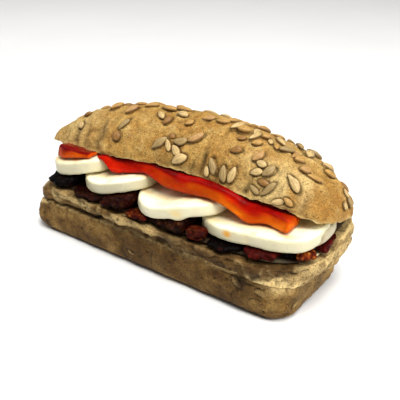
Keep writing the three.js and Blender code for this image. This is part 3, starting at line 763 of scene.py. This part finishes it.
def lid_relief(points):
    """How far the crust stands out at points in the lid's own frame, how deep in a fold they are, and its
    grain."""
    x, y, z = split(points)
    relief = 0.7 * lumps(points, (24, 16, 16), 2, 71) + 0.55 * lumps(points, 7, 2, 75)
    fine = lumps(points, 2.6, 3, 79)
    relief = relief + 0.36 * fine
    front = smooth(-y, 4, 15)
    ribs = noise(points, (4.2, 18, 40), 87) * (1 - smooth(z, 3, 16)) * front
    relief = relief + 0.9 * ribs * (0.45 + 0.55 * smooth(-x, 0, 60))
    fold = 0 * x
    wander = 1.2 * noise(points, (60, 9, 5), 88)
    for fold_x, width, depth, top in FOLDS:
        run = front * (1 - smooth(z, top - 6, top))
        aside = x - fold_x - wander
        here = bell(aside, width) * run
        beside = bell(aside - 2.2 * width, width) * run
        relief = relief - depth * here + 0.5 * depth * beside
        fold = np.maximum(fold, here * min(depth, 1))
    return relief, fold, fine


def around_kernels(points):
    """Painted shade in the gap round each kernel, and the dent it lies in."""
    kernel_shade, dent = np.zeros(points.shape[:-1]), np.zeros(points.shape[:-1])
    for x, y, turn, length, width, _ in SITES:
        here, east, north, _ = lid_axes(x, y)
        away = points - here
        near = (np.abs(away) < length).all(axis=-1)
        along, across = turned(-turn, east, north)
        reach = np.hypot(away[near] @ along / (length / 2), away[near] @ across / (width / 2))
        kernel_shade[near] = np.maximum(kernel_shade[near], bell(reach - 1.02, 0.22))
        dent[near] = np.maximum(dent[near], smooth(-reach, -1.5, -0.9))
    return kernel_shade, dent


def lid():
    columns, under, over = 700, 14, 124
    u = np.arange(columns) / columns
    shares = np.concatenate([np.linspace(0, 0.9, under - 4), [0.94, 0.97, 0.99, 1.0]])
    rings = [lid_under_point(*lid_rim(u, share)) for share in shares]
    climb = np.linspace(0, 1, over + 1)[1:] ** 1.15
    for t in climb:
        share = max(math.cos(t * math.pi / 2), 0.0) ** (2 / DOME_POWER)
        rings.append(lid_crust_point(*lid_rim(u, share)))
    grid = np.array(rings)
    k = np.arange(len(grid))[:, None] + 0 * u
    x, y, z = split(grid)
    crust = smooth(k, under - 1, under + 8)
    relief, fold, fine = lid_relief(grid)
    kernel_shade, dent = around_kernels(grid)
    moved = pushed(grid, (relief - 0.35 * dent) * crust)
    ragged = bell(k - under + 0.5, 4.0)
    torn = lumps(grid * [1, 1, 0.2], (3.2, 3.2, 3.2), 3, 91)
    moved[..., 2] += ragged * (0.45 * torn - 0.1)
    moved[..., 1] += ragged * 0.35 * lumps(grid, 2.4, 2, 97) * np.sign(y)
    height = z / LID_HEIGHT
    crumb = (1 - smooth(k, under - 2, under + 1.5)) * 0.8
    # Painted shade in hollows of the crust and its grain, in the folds, round each kernel and under the low
    # middle of the front.
    shade = 0.25 * smooth(-relief, 0.5, 1.4) + 0.26 * smooth(-fine, 0.2, 1.0)
    shade += (0.25 + 0.3 * smooth(x, 0, 12)) * fold + 0.75 * kernel_shade
    shade = np.clip(shade, 0, 0.85) * crust
    baked = 0.22 * smooth(height, 0.4, 0.95) * (0.6 + 0.6 * noise(grid, (20, 9, 9), 103))
    toast_and_shade = np.clip(baked + 0.25 * smooth(lumps(grid, 16, 2, 101), 0.1, 1.0), 0, 0.6)
    low_front_shade = between(x, -14, 4, 24, 36) * smooth(-y, 12, 18) * (1 - smooth(height, 0.2, 0.45))
    shade = np.maximum(shade, 0.4 * low_front_shade * crust)
    # The lower right front is paler, and painted light pales the upper right and the lower left of the crust.
    right_front = between(x, 28, 58, 66, 74) * smooth(-y, 4, 18) * (1 - smooth(height, 0.6, 0.85))
    painted_light = smooth(x, 26, 50) * smooth(height, 0.45, 0.8) + smooth(-x, 30, 50) * (1 - smooth(height, 0.6, 0.9))
    flour_and_painted_light = np.maximum(0.95 * right_front, 0.35 * painted_light) * (0.65 + 0.7 * noise(grid, (6, 6, 12), 105))
    # The right end is browned further, which also paints shade on it.
    toast_and_shade = np.clip(toast_and_shade + 0.4 * smooth(x, 68, 77), 0, 0.75)
    flakes = smooth(lumps(grid, (3.5, 3.5, 2), 2, 107), 0.2, 0.7)
    # Painted highlights on the raised grain, and pale flakes along the torn edge.
    flour_and_highlight = np.clip(flour_and_painted_light + 0.35 * smooth(fine, 0.25, 1.0), 0, 0.75) + (0.2 + 0.7 * flakes) * ragged
    layers = {"crumb": crumb, "shade": shade, "toast_and_shade": toast_and_shade, "flour_and_highlight": np.clip(flour_and_highlight, 0, 0.8)}
    ring_piece("bread_lid", lid_placed(moved), LID_BREAD, "top_bun", layers)


lid()

# ---- the cream spread ----
def cream():
    columns, half = 220, 14
    u = np.arange(columns) / columns
    wave = 0.7 * np.sin(u * math.tau * 9)
    rings = []
    scales = np.concatenate([np.linspace(0, 1, half), np.linspace(1, 0, half)])
    for k, scale in enumerate(scales):
        raised = SPREAD_THICKNESS if k >= half else 0
        x, y = rounded_rectangle(u, LOBE_TOP, SPREAD_INSET)
        x, y = x - wave * x / HALF_LENGTH, y - wave * y / HALF_WIDTH
        x, y = lerp(CUT_CENTRE[0], x, scale), lerp(CUT_CENTRE[1], y, scale)
        edge = 0.25 * (scale == 1) * (-1 if raised else 1)
        rings.append(joined(x, y, spread_top(x, y) - SPREAD_THICKNESS + raised + edge))
    grid = np.array(rings)
    grid[half:, :, 2] += 0.15 * lumps(grid[half:], 3.5, 2, 111)
    x, y, _ = split(grid)
    # The spread is darker along its front, its right end and its back, except at a few places where it stays
    # pale.
    kept_pale = 1.1 * bell(x - 77, 3.4) * bell(y + 8, 6) + 0.8 * bell(x - 62, 4) * bell(y + 21, 4)
    kept_pale += 0.9 * bell(x + 66, 4) * bell(y + 16, 7)
    kept_pale *= smooth(noise(grid, 3, 113), -0.8, 0.1)
    darkening = np.maximum(smooth(-y, 4, 10), smooth(x, 66, 72)) * (1 - kept_pale)
    darkening = np.clip(np.maximum(0.96 * darkening, 0.8 * smooth(y, 16, 24)), 0, 0.96)
    ring_piece("cream_spread", grid, CREAM, "spread", {"darkening": darkening})


cream()

# ---- where the pepper strips run ----
# Stations: x, the y of the front edge, the height of the underside, depth and thickness.
PEPPERS = [
    [
        (-62.8, -20.4, 41.8, 8, 6.6),
        (-57, -22.2, 42.8, 9, 6.6),
        (-51, -22.6, 44.6, 9, 5.2),
        (-46, -22.4, 46, 9, 3.6),
        (-39.6, -21, 47, 9, 2.8),
    ],
    [
        (-38, -17.5, 47.1, 8, 1.4),
        (-34, -18, 46.1, 9, 2.6),
        (-28.4, -18, 41.4, 11, 5.8),
        (-20, -17, 42.8, 12, 6),
        (-10, -16.6, 45.1, 12, 5.4),
        (5, -18.8, 43, 13, 6.8),
        (16, -19.8, 43.7, 13, 6.5),
        (24, -20.6, 45.2, 12, 6),
        (34.5, -21, 45.6, 12, 5.2),
        (42, -20, 42.4, 12, 6.4),
        (48, -19.6, 39.6, 12, 7),
        (57.7, -17.8, 40.7, 12, 7),
        (69.2, -21.2, 41.9, 11, 6.4),
    ],
]
# How the top falls and the cut face leans to the back, the section's squareness, and how far the long strip
# swells up to the lid.
PEPPER_SLOPE, PEPPER_LEAN, PEPPER_POWER, PEPPER_PLUMP = 0.26, 0.35, 4.5, 2.1
RINGS_FOR_A_STATION, END_RINGS = 26, 5

# ---- mozzarella ----
# Each slice: middle, half sizes and thickness, underside heights left and right of its bend, where the
# bend is, how the bend moves left towards the back and how the slice rises to the back.
SLICES = [
    ((-51, -10.5), (16.5, 13.5, 7), (34, 39.7), (-62, -34), 0.5, -0.03),
    ((-26.9, -8), (20.2, 17.5, 6.2), (31.6, 38.4), (-37, -6.5), 0.15, 0),
    ((11.5, -8.5), (24, 19, 6.2), (30.2, 38), (-2, 30), 0, 0.055),
    ((51, -6.4), (27.9, 17.8, 6.5), (30.1, 34.4), (28, 76), 0, 0.05),
    ((64.3, -1.5), (15.6, 15, 5.6), (33.6, 34), (50, 80), 0, 0.05),
]
SLICE_POWERS = (2.6, 2.6, 2.6, 3.2, 2.6)
# How strongly painted shade darkens each slice's upright cut face.
SIDE_SHADES = (0.75, 0.95, 0.55, 0.8)
SLICE_EDGE = [(6, 0), (0.6, 0), (0, 0.12), (0, 0.76), (0.4, 0.94), (1.4, 1), (6, 1)]


def under_slice(slice_, x, y):
    (_, cy), (_, b, _), under, bend, skew, back = slice_
    behind = y - cy + b
    return lerp(*under, smooth(x + skew * behind, *bend)) + back * behind


def slice_grid(number, grown=0.0, columns=144, rows=92):
    slice_ = SLICES[number - 1]
    (cx, cy), (a, b, thickness) = slice_[:2]
    u = np.arange(columns) / columns
    levels = []
    for drawn_in, share in [(None, 0), *SLICE_EDGE, (None, 1)]:
        size = np.array([0, 0] if drawn_in is None else [a - drawn_in + grown, b - drawn_in + grown])
        dx, dy = superellipse(u, *size, SLICE_POWERS[number - 1])
        x, y = cx + dx, cy + dy
        z = under_slice(slice_, x, y) + lerp(-grown, thickness + grown, share)
        levels.append(joined(x, y, z))
    return refine(np.array(levels), rows, 2)


def mozzarella(number):
    grid = slice_grid(number)
    grid = pushed(grid, 0.25 * lumps(grid, 9, 2, 120 + number) + 0.12 * lumps(grid, 2.6, 3, 130 + number))
    stain = 0.3 * smooth(lumps(grid, 10, 2, 140 + number), 0.35, 1.0)
    spot, herb = 0 * stain, 0 * stain
    if number == 2:
        herb = 0.7 * spot_at(grid, -24.4, -23.4, 41.5, 1.1)
    if number == 3:
        stain = np.maximum(stain, 0.8 * spot_at(grid, 18, -27.2, 38.3, (3.4, 2, 2)))
        tip = spot_at(grid, 20.5, -26.5, 35.4, (3.6, 3.5, 1.6))
        grid[..., 2] -= 1.9 * tip
    if number == 4:
        spot = np.clip(1.8 * spot_at(grid, 42.7, -23.7, 35.0, (1.7, 1.7, 1.25)), 0, 1)
        stain = np.maximum(stain, 0.5 * spot_at(grid, 52, -23, 35.5, (3, 2, 3)))
        herb = 0.8 * spot_at(grid, 55, -23.2, 39.4, (1.4, 1, 0.8))
        grid[..., 1] += 0.6 * spot_at(grid, 53, -24, 34, (0.8, 2, 3))
    upward = normals_of(grid)[..., 2]
    # Painted shade on the upright cut face, stronger on slices that lie more in shade.
    side = SIDE_SHADES[number - 1] * (1 - smooth(upward, 0.15, 0.8)) * (1 - 0.8 * stain)
    # A yellow-brown tint on the tops just in front of the pepper strips.
    strip = np.array(PEPPERS[0 if number == 1 else 1])
    before = np.interp(grid[..., 0], strip[:, 0], strip[:, 1]) + 1 - grid[..., 1]
    pepper_edge_tint = 0.6 * bell(before, 2.2) * smooth(upward, 0.2, 0.7)
    pepper_edge_tint *= 0.7 + 0.5 * noise(grid, 5, 146)
    layers = {"stain": stain, "spot": spot, "herb": herb, "side": side, "pepper_edge_tint": np.clip(pepper_edge_tint, 0, 0.8)}
    ring_piece(f"mozzarella_slice_{number}", grid, MOZZARELLA, f"mozzarella_{number}", layers)


def fifth_slice():
    """The slice that the fourth one lies against, cut back by it."""
    body = ring_object("mozzarella_slice_5", slice_grid(5))
    cutter = ring_object("cutter", slice_grid(4, 0.1, 90, 50))
    less = body.modifiers.new("less", "BOOLEAN")
    less.operation, less.object, less.solver = "DIFFERENCE", cutter, "EXACT"
    shown = bpy.data.meshes.new_from_object(body.evaluated_get(bpy.context.evaluated_depsgraph_get()))
    body.modifiers.clear()
    body.data = shown
    bpy.data.objects.remove(cutter)
    upward, places = np.zeros(len(shown.vertices) * 3), np.zeros(len(shown.vertices) * 3)
    shown.vertices.foreach_get("normal", upward)
    shown.vertices.foreach_get("co", places)
    places = (places.reshape(-1, 3) - SHIFT) / MM
    middle, half = np.array(SLICES[3][0]), np.array(SLICES[3][1][:2])
    power = SLICE_POWERS[3]
    gauge = (np.abs((places[:, :2] - middle) / half) ** power).sum(axis=1) ** (1 / power)
    # Painted shade: the upright faces as on the other slices, and the whole slice, darkest along the fourth
    # slice's edge, since it lies behind it.
    painted_shade = 0.3 + 0.5 * bell(gauge - 1, 0.03)
    layers = {"side": 1 - smooth(upward[2::3], 0.15, 0.8), "painted_shade": painted_shade}
    dress(body, MOZZARELLA, "mozzarella_5", layers)


for number in range(1, 5):
    mozzarella(number)
fifth_slice()

# ---- dried tomatoes ----
# Each: middle, half sizes, turn in degrees, the slice on it or its own top height, how seedy, and how much
# of its skin is maroon as in the light rather than near black as in shade (painted light and shade).
TOMATOES = [
    ((-56.6, -17.2), (8.4, 10.2), 4, 0, None, 0.0, 0.0),
    ((-37.8, -17.4), (9.9, 10.4), -3, 1, None, 0.04, 0.1),
    ((-20.5, -17.4), (8.1, 10.4), 3, 1, None, 0.05, 0.12),
    ((-6.2, -24), (5.9, 4.1), 0, None, 29.8, 0.16, 0.55),
    ((11.2, -17.2), (10.8, 10.2), -3, 2, None, 0.1, 0.0),
    ((27.2, -24.2), (4.6, 3), 12, None, 33.0, 0.08, 0.7),
    ((40.8, -18.4), (8.2, 9), 3, 3, None, 0.0, 0.0),
    ((57.8, -17.4), (7.9, 8.6), 10, 3, None, 0.0, 0.75),
    ((68.0, -14.2), (2.2, 4.6), 20, None, 32.7, 0.0, 0.0),
    ((73.5, -12.2), (3.7, 5.0), 40, None, 33, 1.0, 0.3),
    ((77.4, -0.6), (2.7, 6.6), 6, None, 32.9, 0.0, 1.0),
]
TOMATO_POWER, TOMATO_DROOP = 4.5, 0.6
TOMATO_PROFILE = [(0, 0), (0.62, 0), (0.95, 0.22), (1, 0.6), (0.88, 0.9), (0.5, 1), (0, 1)]


def tomato(index, item):
    (cx, cy), (a, b), turn, under, top, seedy, lit_maroon = item
    columns, rows = 150, 70
    u = np.arange(columns) / columns
    wave = 1.03 + 0.05 * np.sin(u * 3 * math.tau + index) + 0.05 * np.sin(u * 7 * math.tau + 2 * index)
    levels = []
    for share, rise in TOMATO_PROFILE:
        p, q = superellipse(u, a * share * wave, b * share * wave, TOMATO_POWER)
        dx, dy = turned(turn, p, q)
        x, y = cx + dx, cy + dy
        low_z = spread_top(x, y) + GAP - TOMATO_DROOP * smooth(-y, 25, 27.4)
        high_z = top if under is None else under_slice(SLICES[under], x, y) - 1.8 * GAP
        levels.append(joined(x, y, lerp(low_z, high_z, rise)))
    grid = refine(np.array(levels), rows, 4)
    warp = 1.4 * noise(grid, 5, 151 + index)
    crumple = 1 - np.abs(noise(grid + warp[..., None], (3.4, 3.4, 1.8), 161 + index)) * 2
    folds = 0.8 * crumple + 0.35 * lumps(grid, 1.3, 2, 171 + index) - 0.25
    n = normals_of(grid)
    folds *= 0.2 + 0.8 * (1 - np.abs(n[..., 2]))
    grid = pushed(grid, folds)
    if index == 0:
        curl = smooth(-grid[..., 0], 62.4, 65.4) * bell(grid[..., 1] + 17, 3.2)
        grid[..., 0] -= 1.9 * curl
        grid[..., 2] += 2.6 * curl
    seeds = np.clip(seedy * (0.7 + 0.6 * noise(grid, 2.5, 181 + index)), 0, 1)
    # How much of the skin is lit maroon rather than shaded near black: painted light and shade.
    lit_maroon_mask = np.clip(lit_maroon * (0.7 + 0.6 * noise(grid, 4, 185 + index)), 0, 1)
    layers = {"seedy": seeds, "lit_maroon": lit_maroon_mask}
    ring_piece(f"dried_tomato_{index + 1}", grid, TOMATO, f"tomato_{index + 1}", layers)


for index, item in enumerate(TOMATOES):
    tomato(index, item)


# ---- roasted pepper strips ----
def through(stations, t):
    """Points of a smooth curve through the stations, at shares t of its length."""
    points = np.array(stations, float)
    reach = np.concatenate([[0], np.cumsum(np.abs(np.diff(points[:, 0])))])
    slopes = np.gradient(points, reach, axis=0)
    at = t * reach[-1]
    k = np.clip(np.searchsorted(reach, at, side="right") - 1, 0, len(reach) - 2)
    h = (reach[k + 1] - reach[k])[:, None]
    f = ((at - reach[k])[:, None]) / h
    return (
        (2 * f**3 - 3 * f**2 + 1) * points[k]
        + (f**3 - 2 * f**2 + f) * h * slopes[k]
        + (3 * f**2 - 2 * f**3) * points[k + 1]
        + (f**3 - f**2) * h * slopes[k + 1]
    )


def pepper(number, stations):
    rings, columns = RINGS_FOR_A_STATION * len(stations), 88
    t = np.linspace(0, 1, rings)
    u = np.arange(columns) / columns
    x, front, under, depth, thickness = through(stations, t).T
    thickness = thickness + PEPPER_PLUMP * between(x, -37, -30, 50, 62)
    nearest_end = np.minimum(t, 1 - t) * rings
    ended = np.sqrt(1 - 0.4 * np.clip(1 - nearest_end / END_RINGS, 0, 1) ** 2)
    ended[0] = ended[-1] = 0
    rows = []
    for i in range(rings):
        a, b = superellipse(u, depth[i] / 2 * ended[i], thickness[i] / 2 * ended[i], PEPPER_POWER)
        back, share = depth[i] / 2 + a, 0.5 + b / thickness[i]
        y = front[i] + back + PEPPER_LEAN * thickness[i] * share
        z = under[i] + share * (thickness[i] - PEPPER_SLOPE * back)
        rows.append(joined(x[i], y, z))
    grid = np.array(rows)
    n = normals_of(grid)
    height = (grid[..., 2] - under[:, None]) / thickness[:, None]
    grid = pushed(grid, 0.22 * lumps(grid, (7, 4, 4), 2, 190 + number) + 0.07 * lumps(grid, 1.5, 2, 195))
    px = grid[..., 0]
    uneven = 0.25 * noise(grid, (9, 5, 5), 201)
    skin = smooth(n[..., 2] + uneven, 0.25, 0.7)
    if number == 1:
        red = smooth(height + uneven, 0.55, 1.0) * 0.8 + 0.15
        dark = np.maximum(smooth(-px, 59.5, 62.5) * 0.8, 0.6 * skin)
    else:
        left = 1 - smooth(px + 12 * uneven, -12, 6) * (0.45 + 0.55 * smooth(px, 8, 36))
        red = np.maximum(left, smooth(height + uneven, 0.42, 0.75) * (1 - 0.75 * smooth(px, 52, 64)))
        banded = 0.9 * smooth(height + uneven, 0.62, 0.8) * smooth(px, -14, 4)
        banded *= 1 - 0.5 * smooth(px, 60, 66)
        skin = np.maximum(skin * (1 - 0.35 * smooth(px, 62, 68)), banded)
        brown = 0.26 * between(px, -14, 0, 30, 48)
        dark = np.maximum(skin * (0.2 + 0.5 * smooth(noise(grid, (10, 5, 5), 203), -0.1, 0.6)), brown)
    layers = {"skin": skin, "red": np.clip(red, 0, 1), "dark": np.clip(dark, 0, 0.9)}
    ring_piece(f"pepper_strip_{number}", grid, PEPPER, f"pepper_{number}", layers)


for number, stations in enumerate(PEPPERS, 1):
    pepper(number, stations)


# ---- sunflower kernels ----
KERNEL_ROWS, KERNEL_COLUMNS = 16, 32


def kernel_shape():
    """A flat ridged drop of unit size, narrower at one end, and how much each point is rim or groove, for the
    painted shade there.
    """
    points, rim = [(0.5, 0, 0)], [0]
    for t in np.arange(1, KERNEL_ROWS) / KERNEL_ROWS:
        half = math.sin(t * math.pi) ** 0.58 * (1 - 0.34 * t**1.8) * 1.06
        for angle in np.arange(KERNEL_COLUMNS) / KERNEL_COLUMNS * math.tau:
            ridge = math.cos(8 * angle) * math.sin(t * math.pi)
            across, upwards = 0.5 * half * (1 + 0.02 * ridge), 0.5 * half**0.7 * (1 + 0.07 * ridge)
            points.append((0.5 - t, across * math.cos(angle), upwards * math.sin(angle)))
            rim.append(max(abs(math.cos(angle)) ** 8, 0.7 * max(0, -ridge) ** 2))
    return np.array([*points, (-0.5, 0, 0)]), np.array([*rim, 0])


def kernels():
    shape, rim = kernel_shape()
    faces = ring_faces(KERNEL_ROWS + 1, KERNEL_COLUMNS)
    points, all_faces = [], []
    for place, (x, y, turn, length, width, _) in enumerate(SITES):
        here, east, north, up = lid_axes(x, y)
        along, across = turned(-turn, east, north)
        thickness = 0.62 * width
        body = shape * [length, width, thickness]
        bent = body * (1 + 0.12 * noise(body + place * 7.0, 2.4, 211)[:, None])
        bent[:, 2] -= 0.012 * body[:, 0] ** 2
        bent[:, 1] += (0.03 * math.sin(place * 2.3)) * body[:, 0] ** 2
        lifted = here + up * (lid_relief(here[None])[0][0] + thickness * 0.2)
        all_faces += [[v + len(shape) * place for v in face] for face in faces]
        points.append(lifted + bent[:, :1] * along + bent[:, 1:2] * across + bent[:, 2:] * up)
    tones, edges = np.repeat([site[5] for site in SITES], len(shape)), np.tile(0.7 * rim, len(SITES))
    obj = bare_object("sunflower_kernels", lid_placed(np.concatenate(points)), all_faces)
    dress(obj, KERNEL, None, {"tone": tones, "edge": edges})


kernels()

# ---- floor, light and camera ----
FLOOR = 3.0  # half the floor's side, in metres
# Each lamp: name, place in metres, size, power and tint.
LIGHTS = [
    ("KeyLight", (0.34, -0.3, 1.1), 0.5, 14.0, (1.0, 0.985, 0.95)),
    ("RightLight", (0.85, -0.05, 0.7), 0.5, 8.0, (1.0, 0.99, 0.97)),
    ("TopLight", (-0.2, 0.2, 1.0), 0.6, 3.0, (1.0, 1.0, 1.0)),
    ("LeftLight", (-0.85, -0.25, 0.75), 0.6, 3.5, (1.0, 1.0, 1.0)),
]
AIM = np.array([0, 0, 0.03])
SKY_STRENGTH = 0.12
# The camera: its place in the design frame, how far round and down it looks, and its focal length.
CAMERA_AT, CAMERA_AZIMUTH, CAMERA_PITCH = (169.227, -220.877, 175.597), 35.5, 28
FOCAL_PIXELS, IMAGE_PIXELS, SENSOR_WIDTH = 644, 400, 36


def floor_and_light():
    mesh = bpy.data.meshes.new("floor")
    corners = [(-FLOOR, -FLOOR, 0), (FLOOR, -FLOOR, 0), (FLOOR, FLOOR, 0), (-FLOOR, FLOOR, 0)]
    mesh.from_pydata(corners, [], [(0, 1, 2, 3)])
    floor = new_object("floor", mesh)
    s = Shader("PaleFloor", Roughness=0.9)
    colour = s.ramp(s.noise(0.01, 2), (0.3, (228, 228, 228)), (0.7, (231, 231, 231)))
    mesh.materials.append(s.finish(colour))
    for name, spot, size, power, tint in LIGHTS:
        lamp = bpy.data.lights.new(name, "AREA")
        lamp.size, lamp.energy, lamp.color = size, power, tint
        obj = new_object(name, lamp)
        obj.location = spot
        obj.rotation_euler = Vector(AIM - np.array(spot)).to_track_quat("-Z", "Y").to_euler()
    world = bpy.data.worlds.new("Studio")
    world.use_nodes = True
    background = world.node_tree.nodes["Background"]
    background.inputs["Color"].default_value = (1, 1, 1, 1)
    background.inputs["Strength"].default_value = SKY_STRENGTH
    bpy.context.scene.world = world
    bpy.context.scene.view_settings.view_transform = "Standard"


def camera():
    data = bpy.data.cameras.new("Camera")
    data.sensor_width = SENSOR_WIDTH
    data.lens = FOCAL_PIXELS / IMAGE_PIXELS * SENSOR_WIDTH
    data.clip_start = 0.01
    obj = new_object("Camera", data)
    obj.location = np.array(CAMERA_AT) * MM + SHIFT
    obj.rotation_euler = (math.radians(90 - CAMERA_PITCH), 0, math.radians(CAMERA_AZIMUTH))
    bpy.context.scene.camera = obj


floor_and_light()
camera()

bpy.context.view_layer.update()
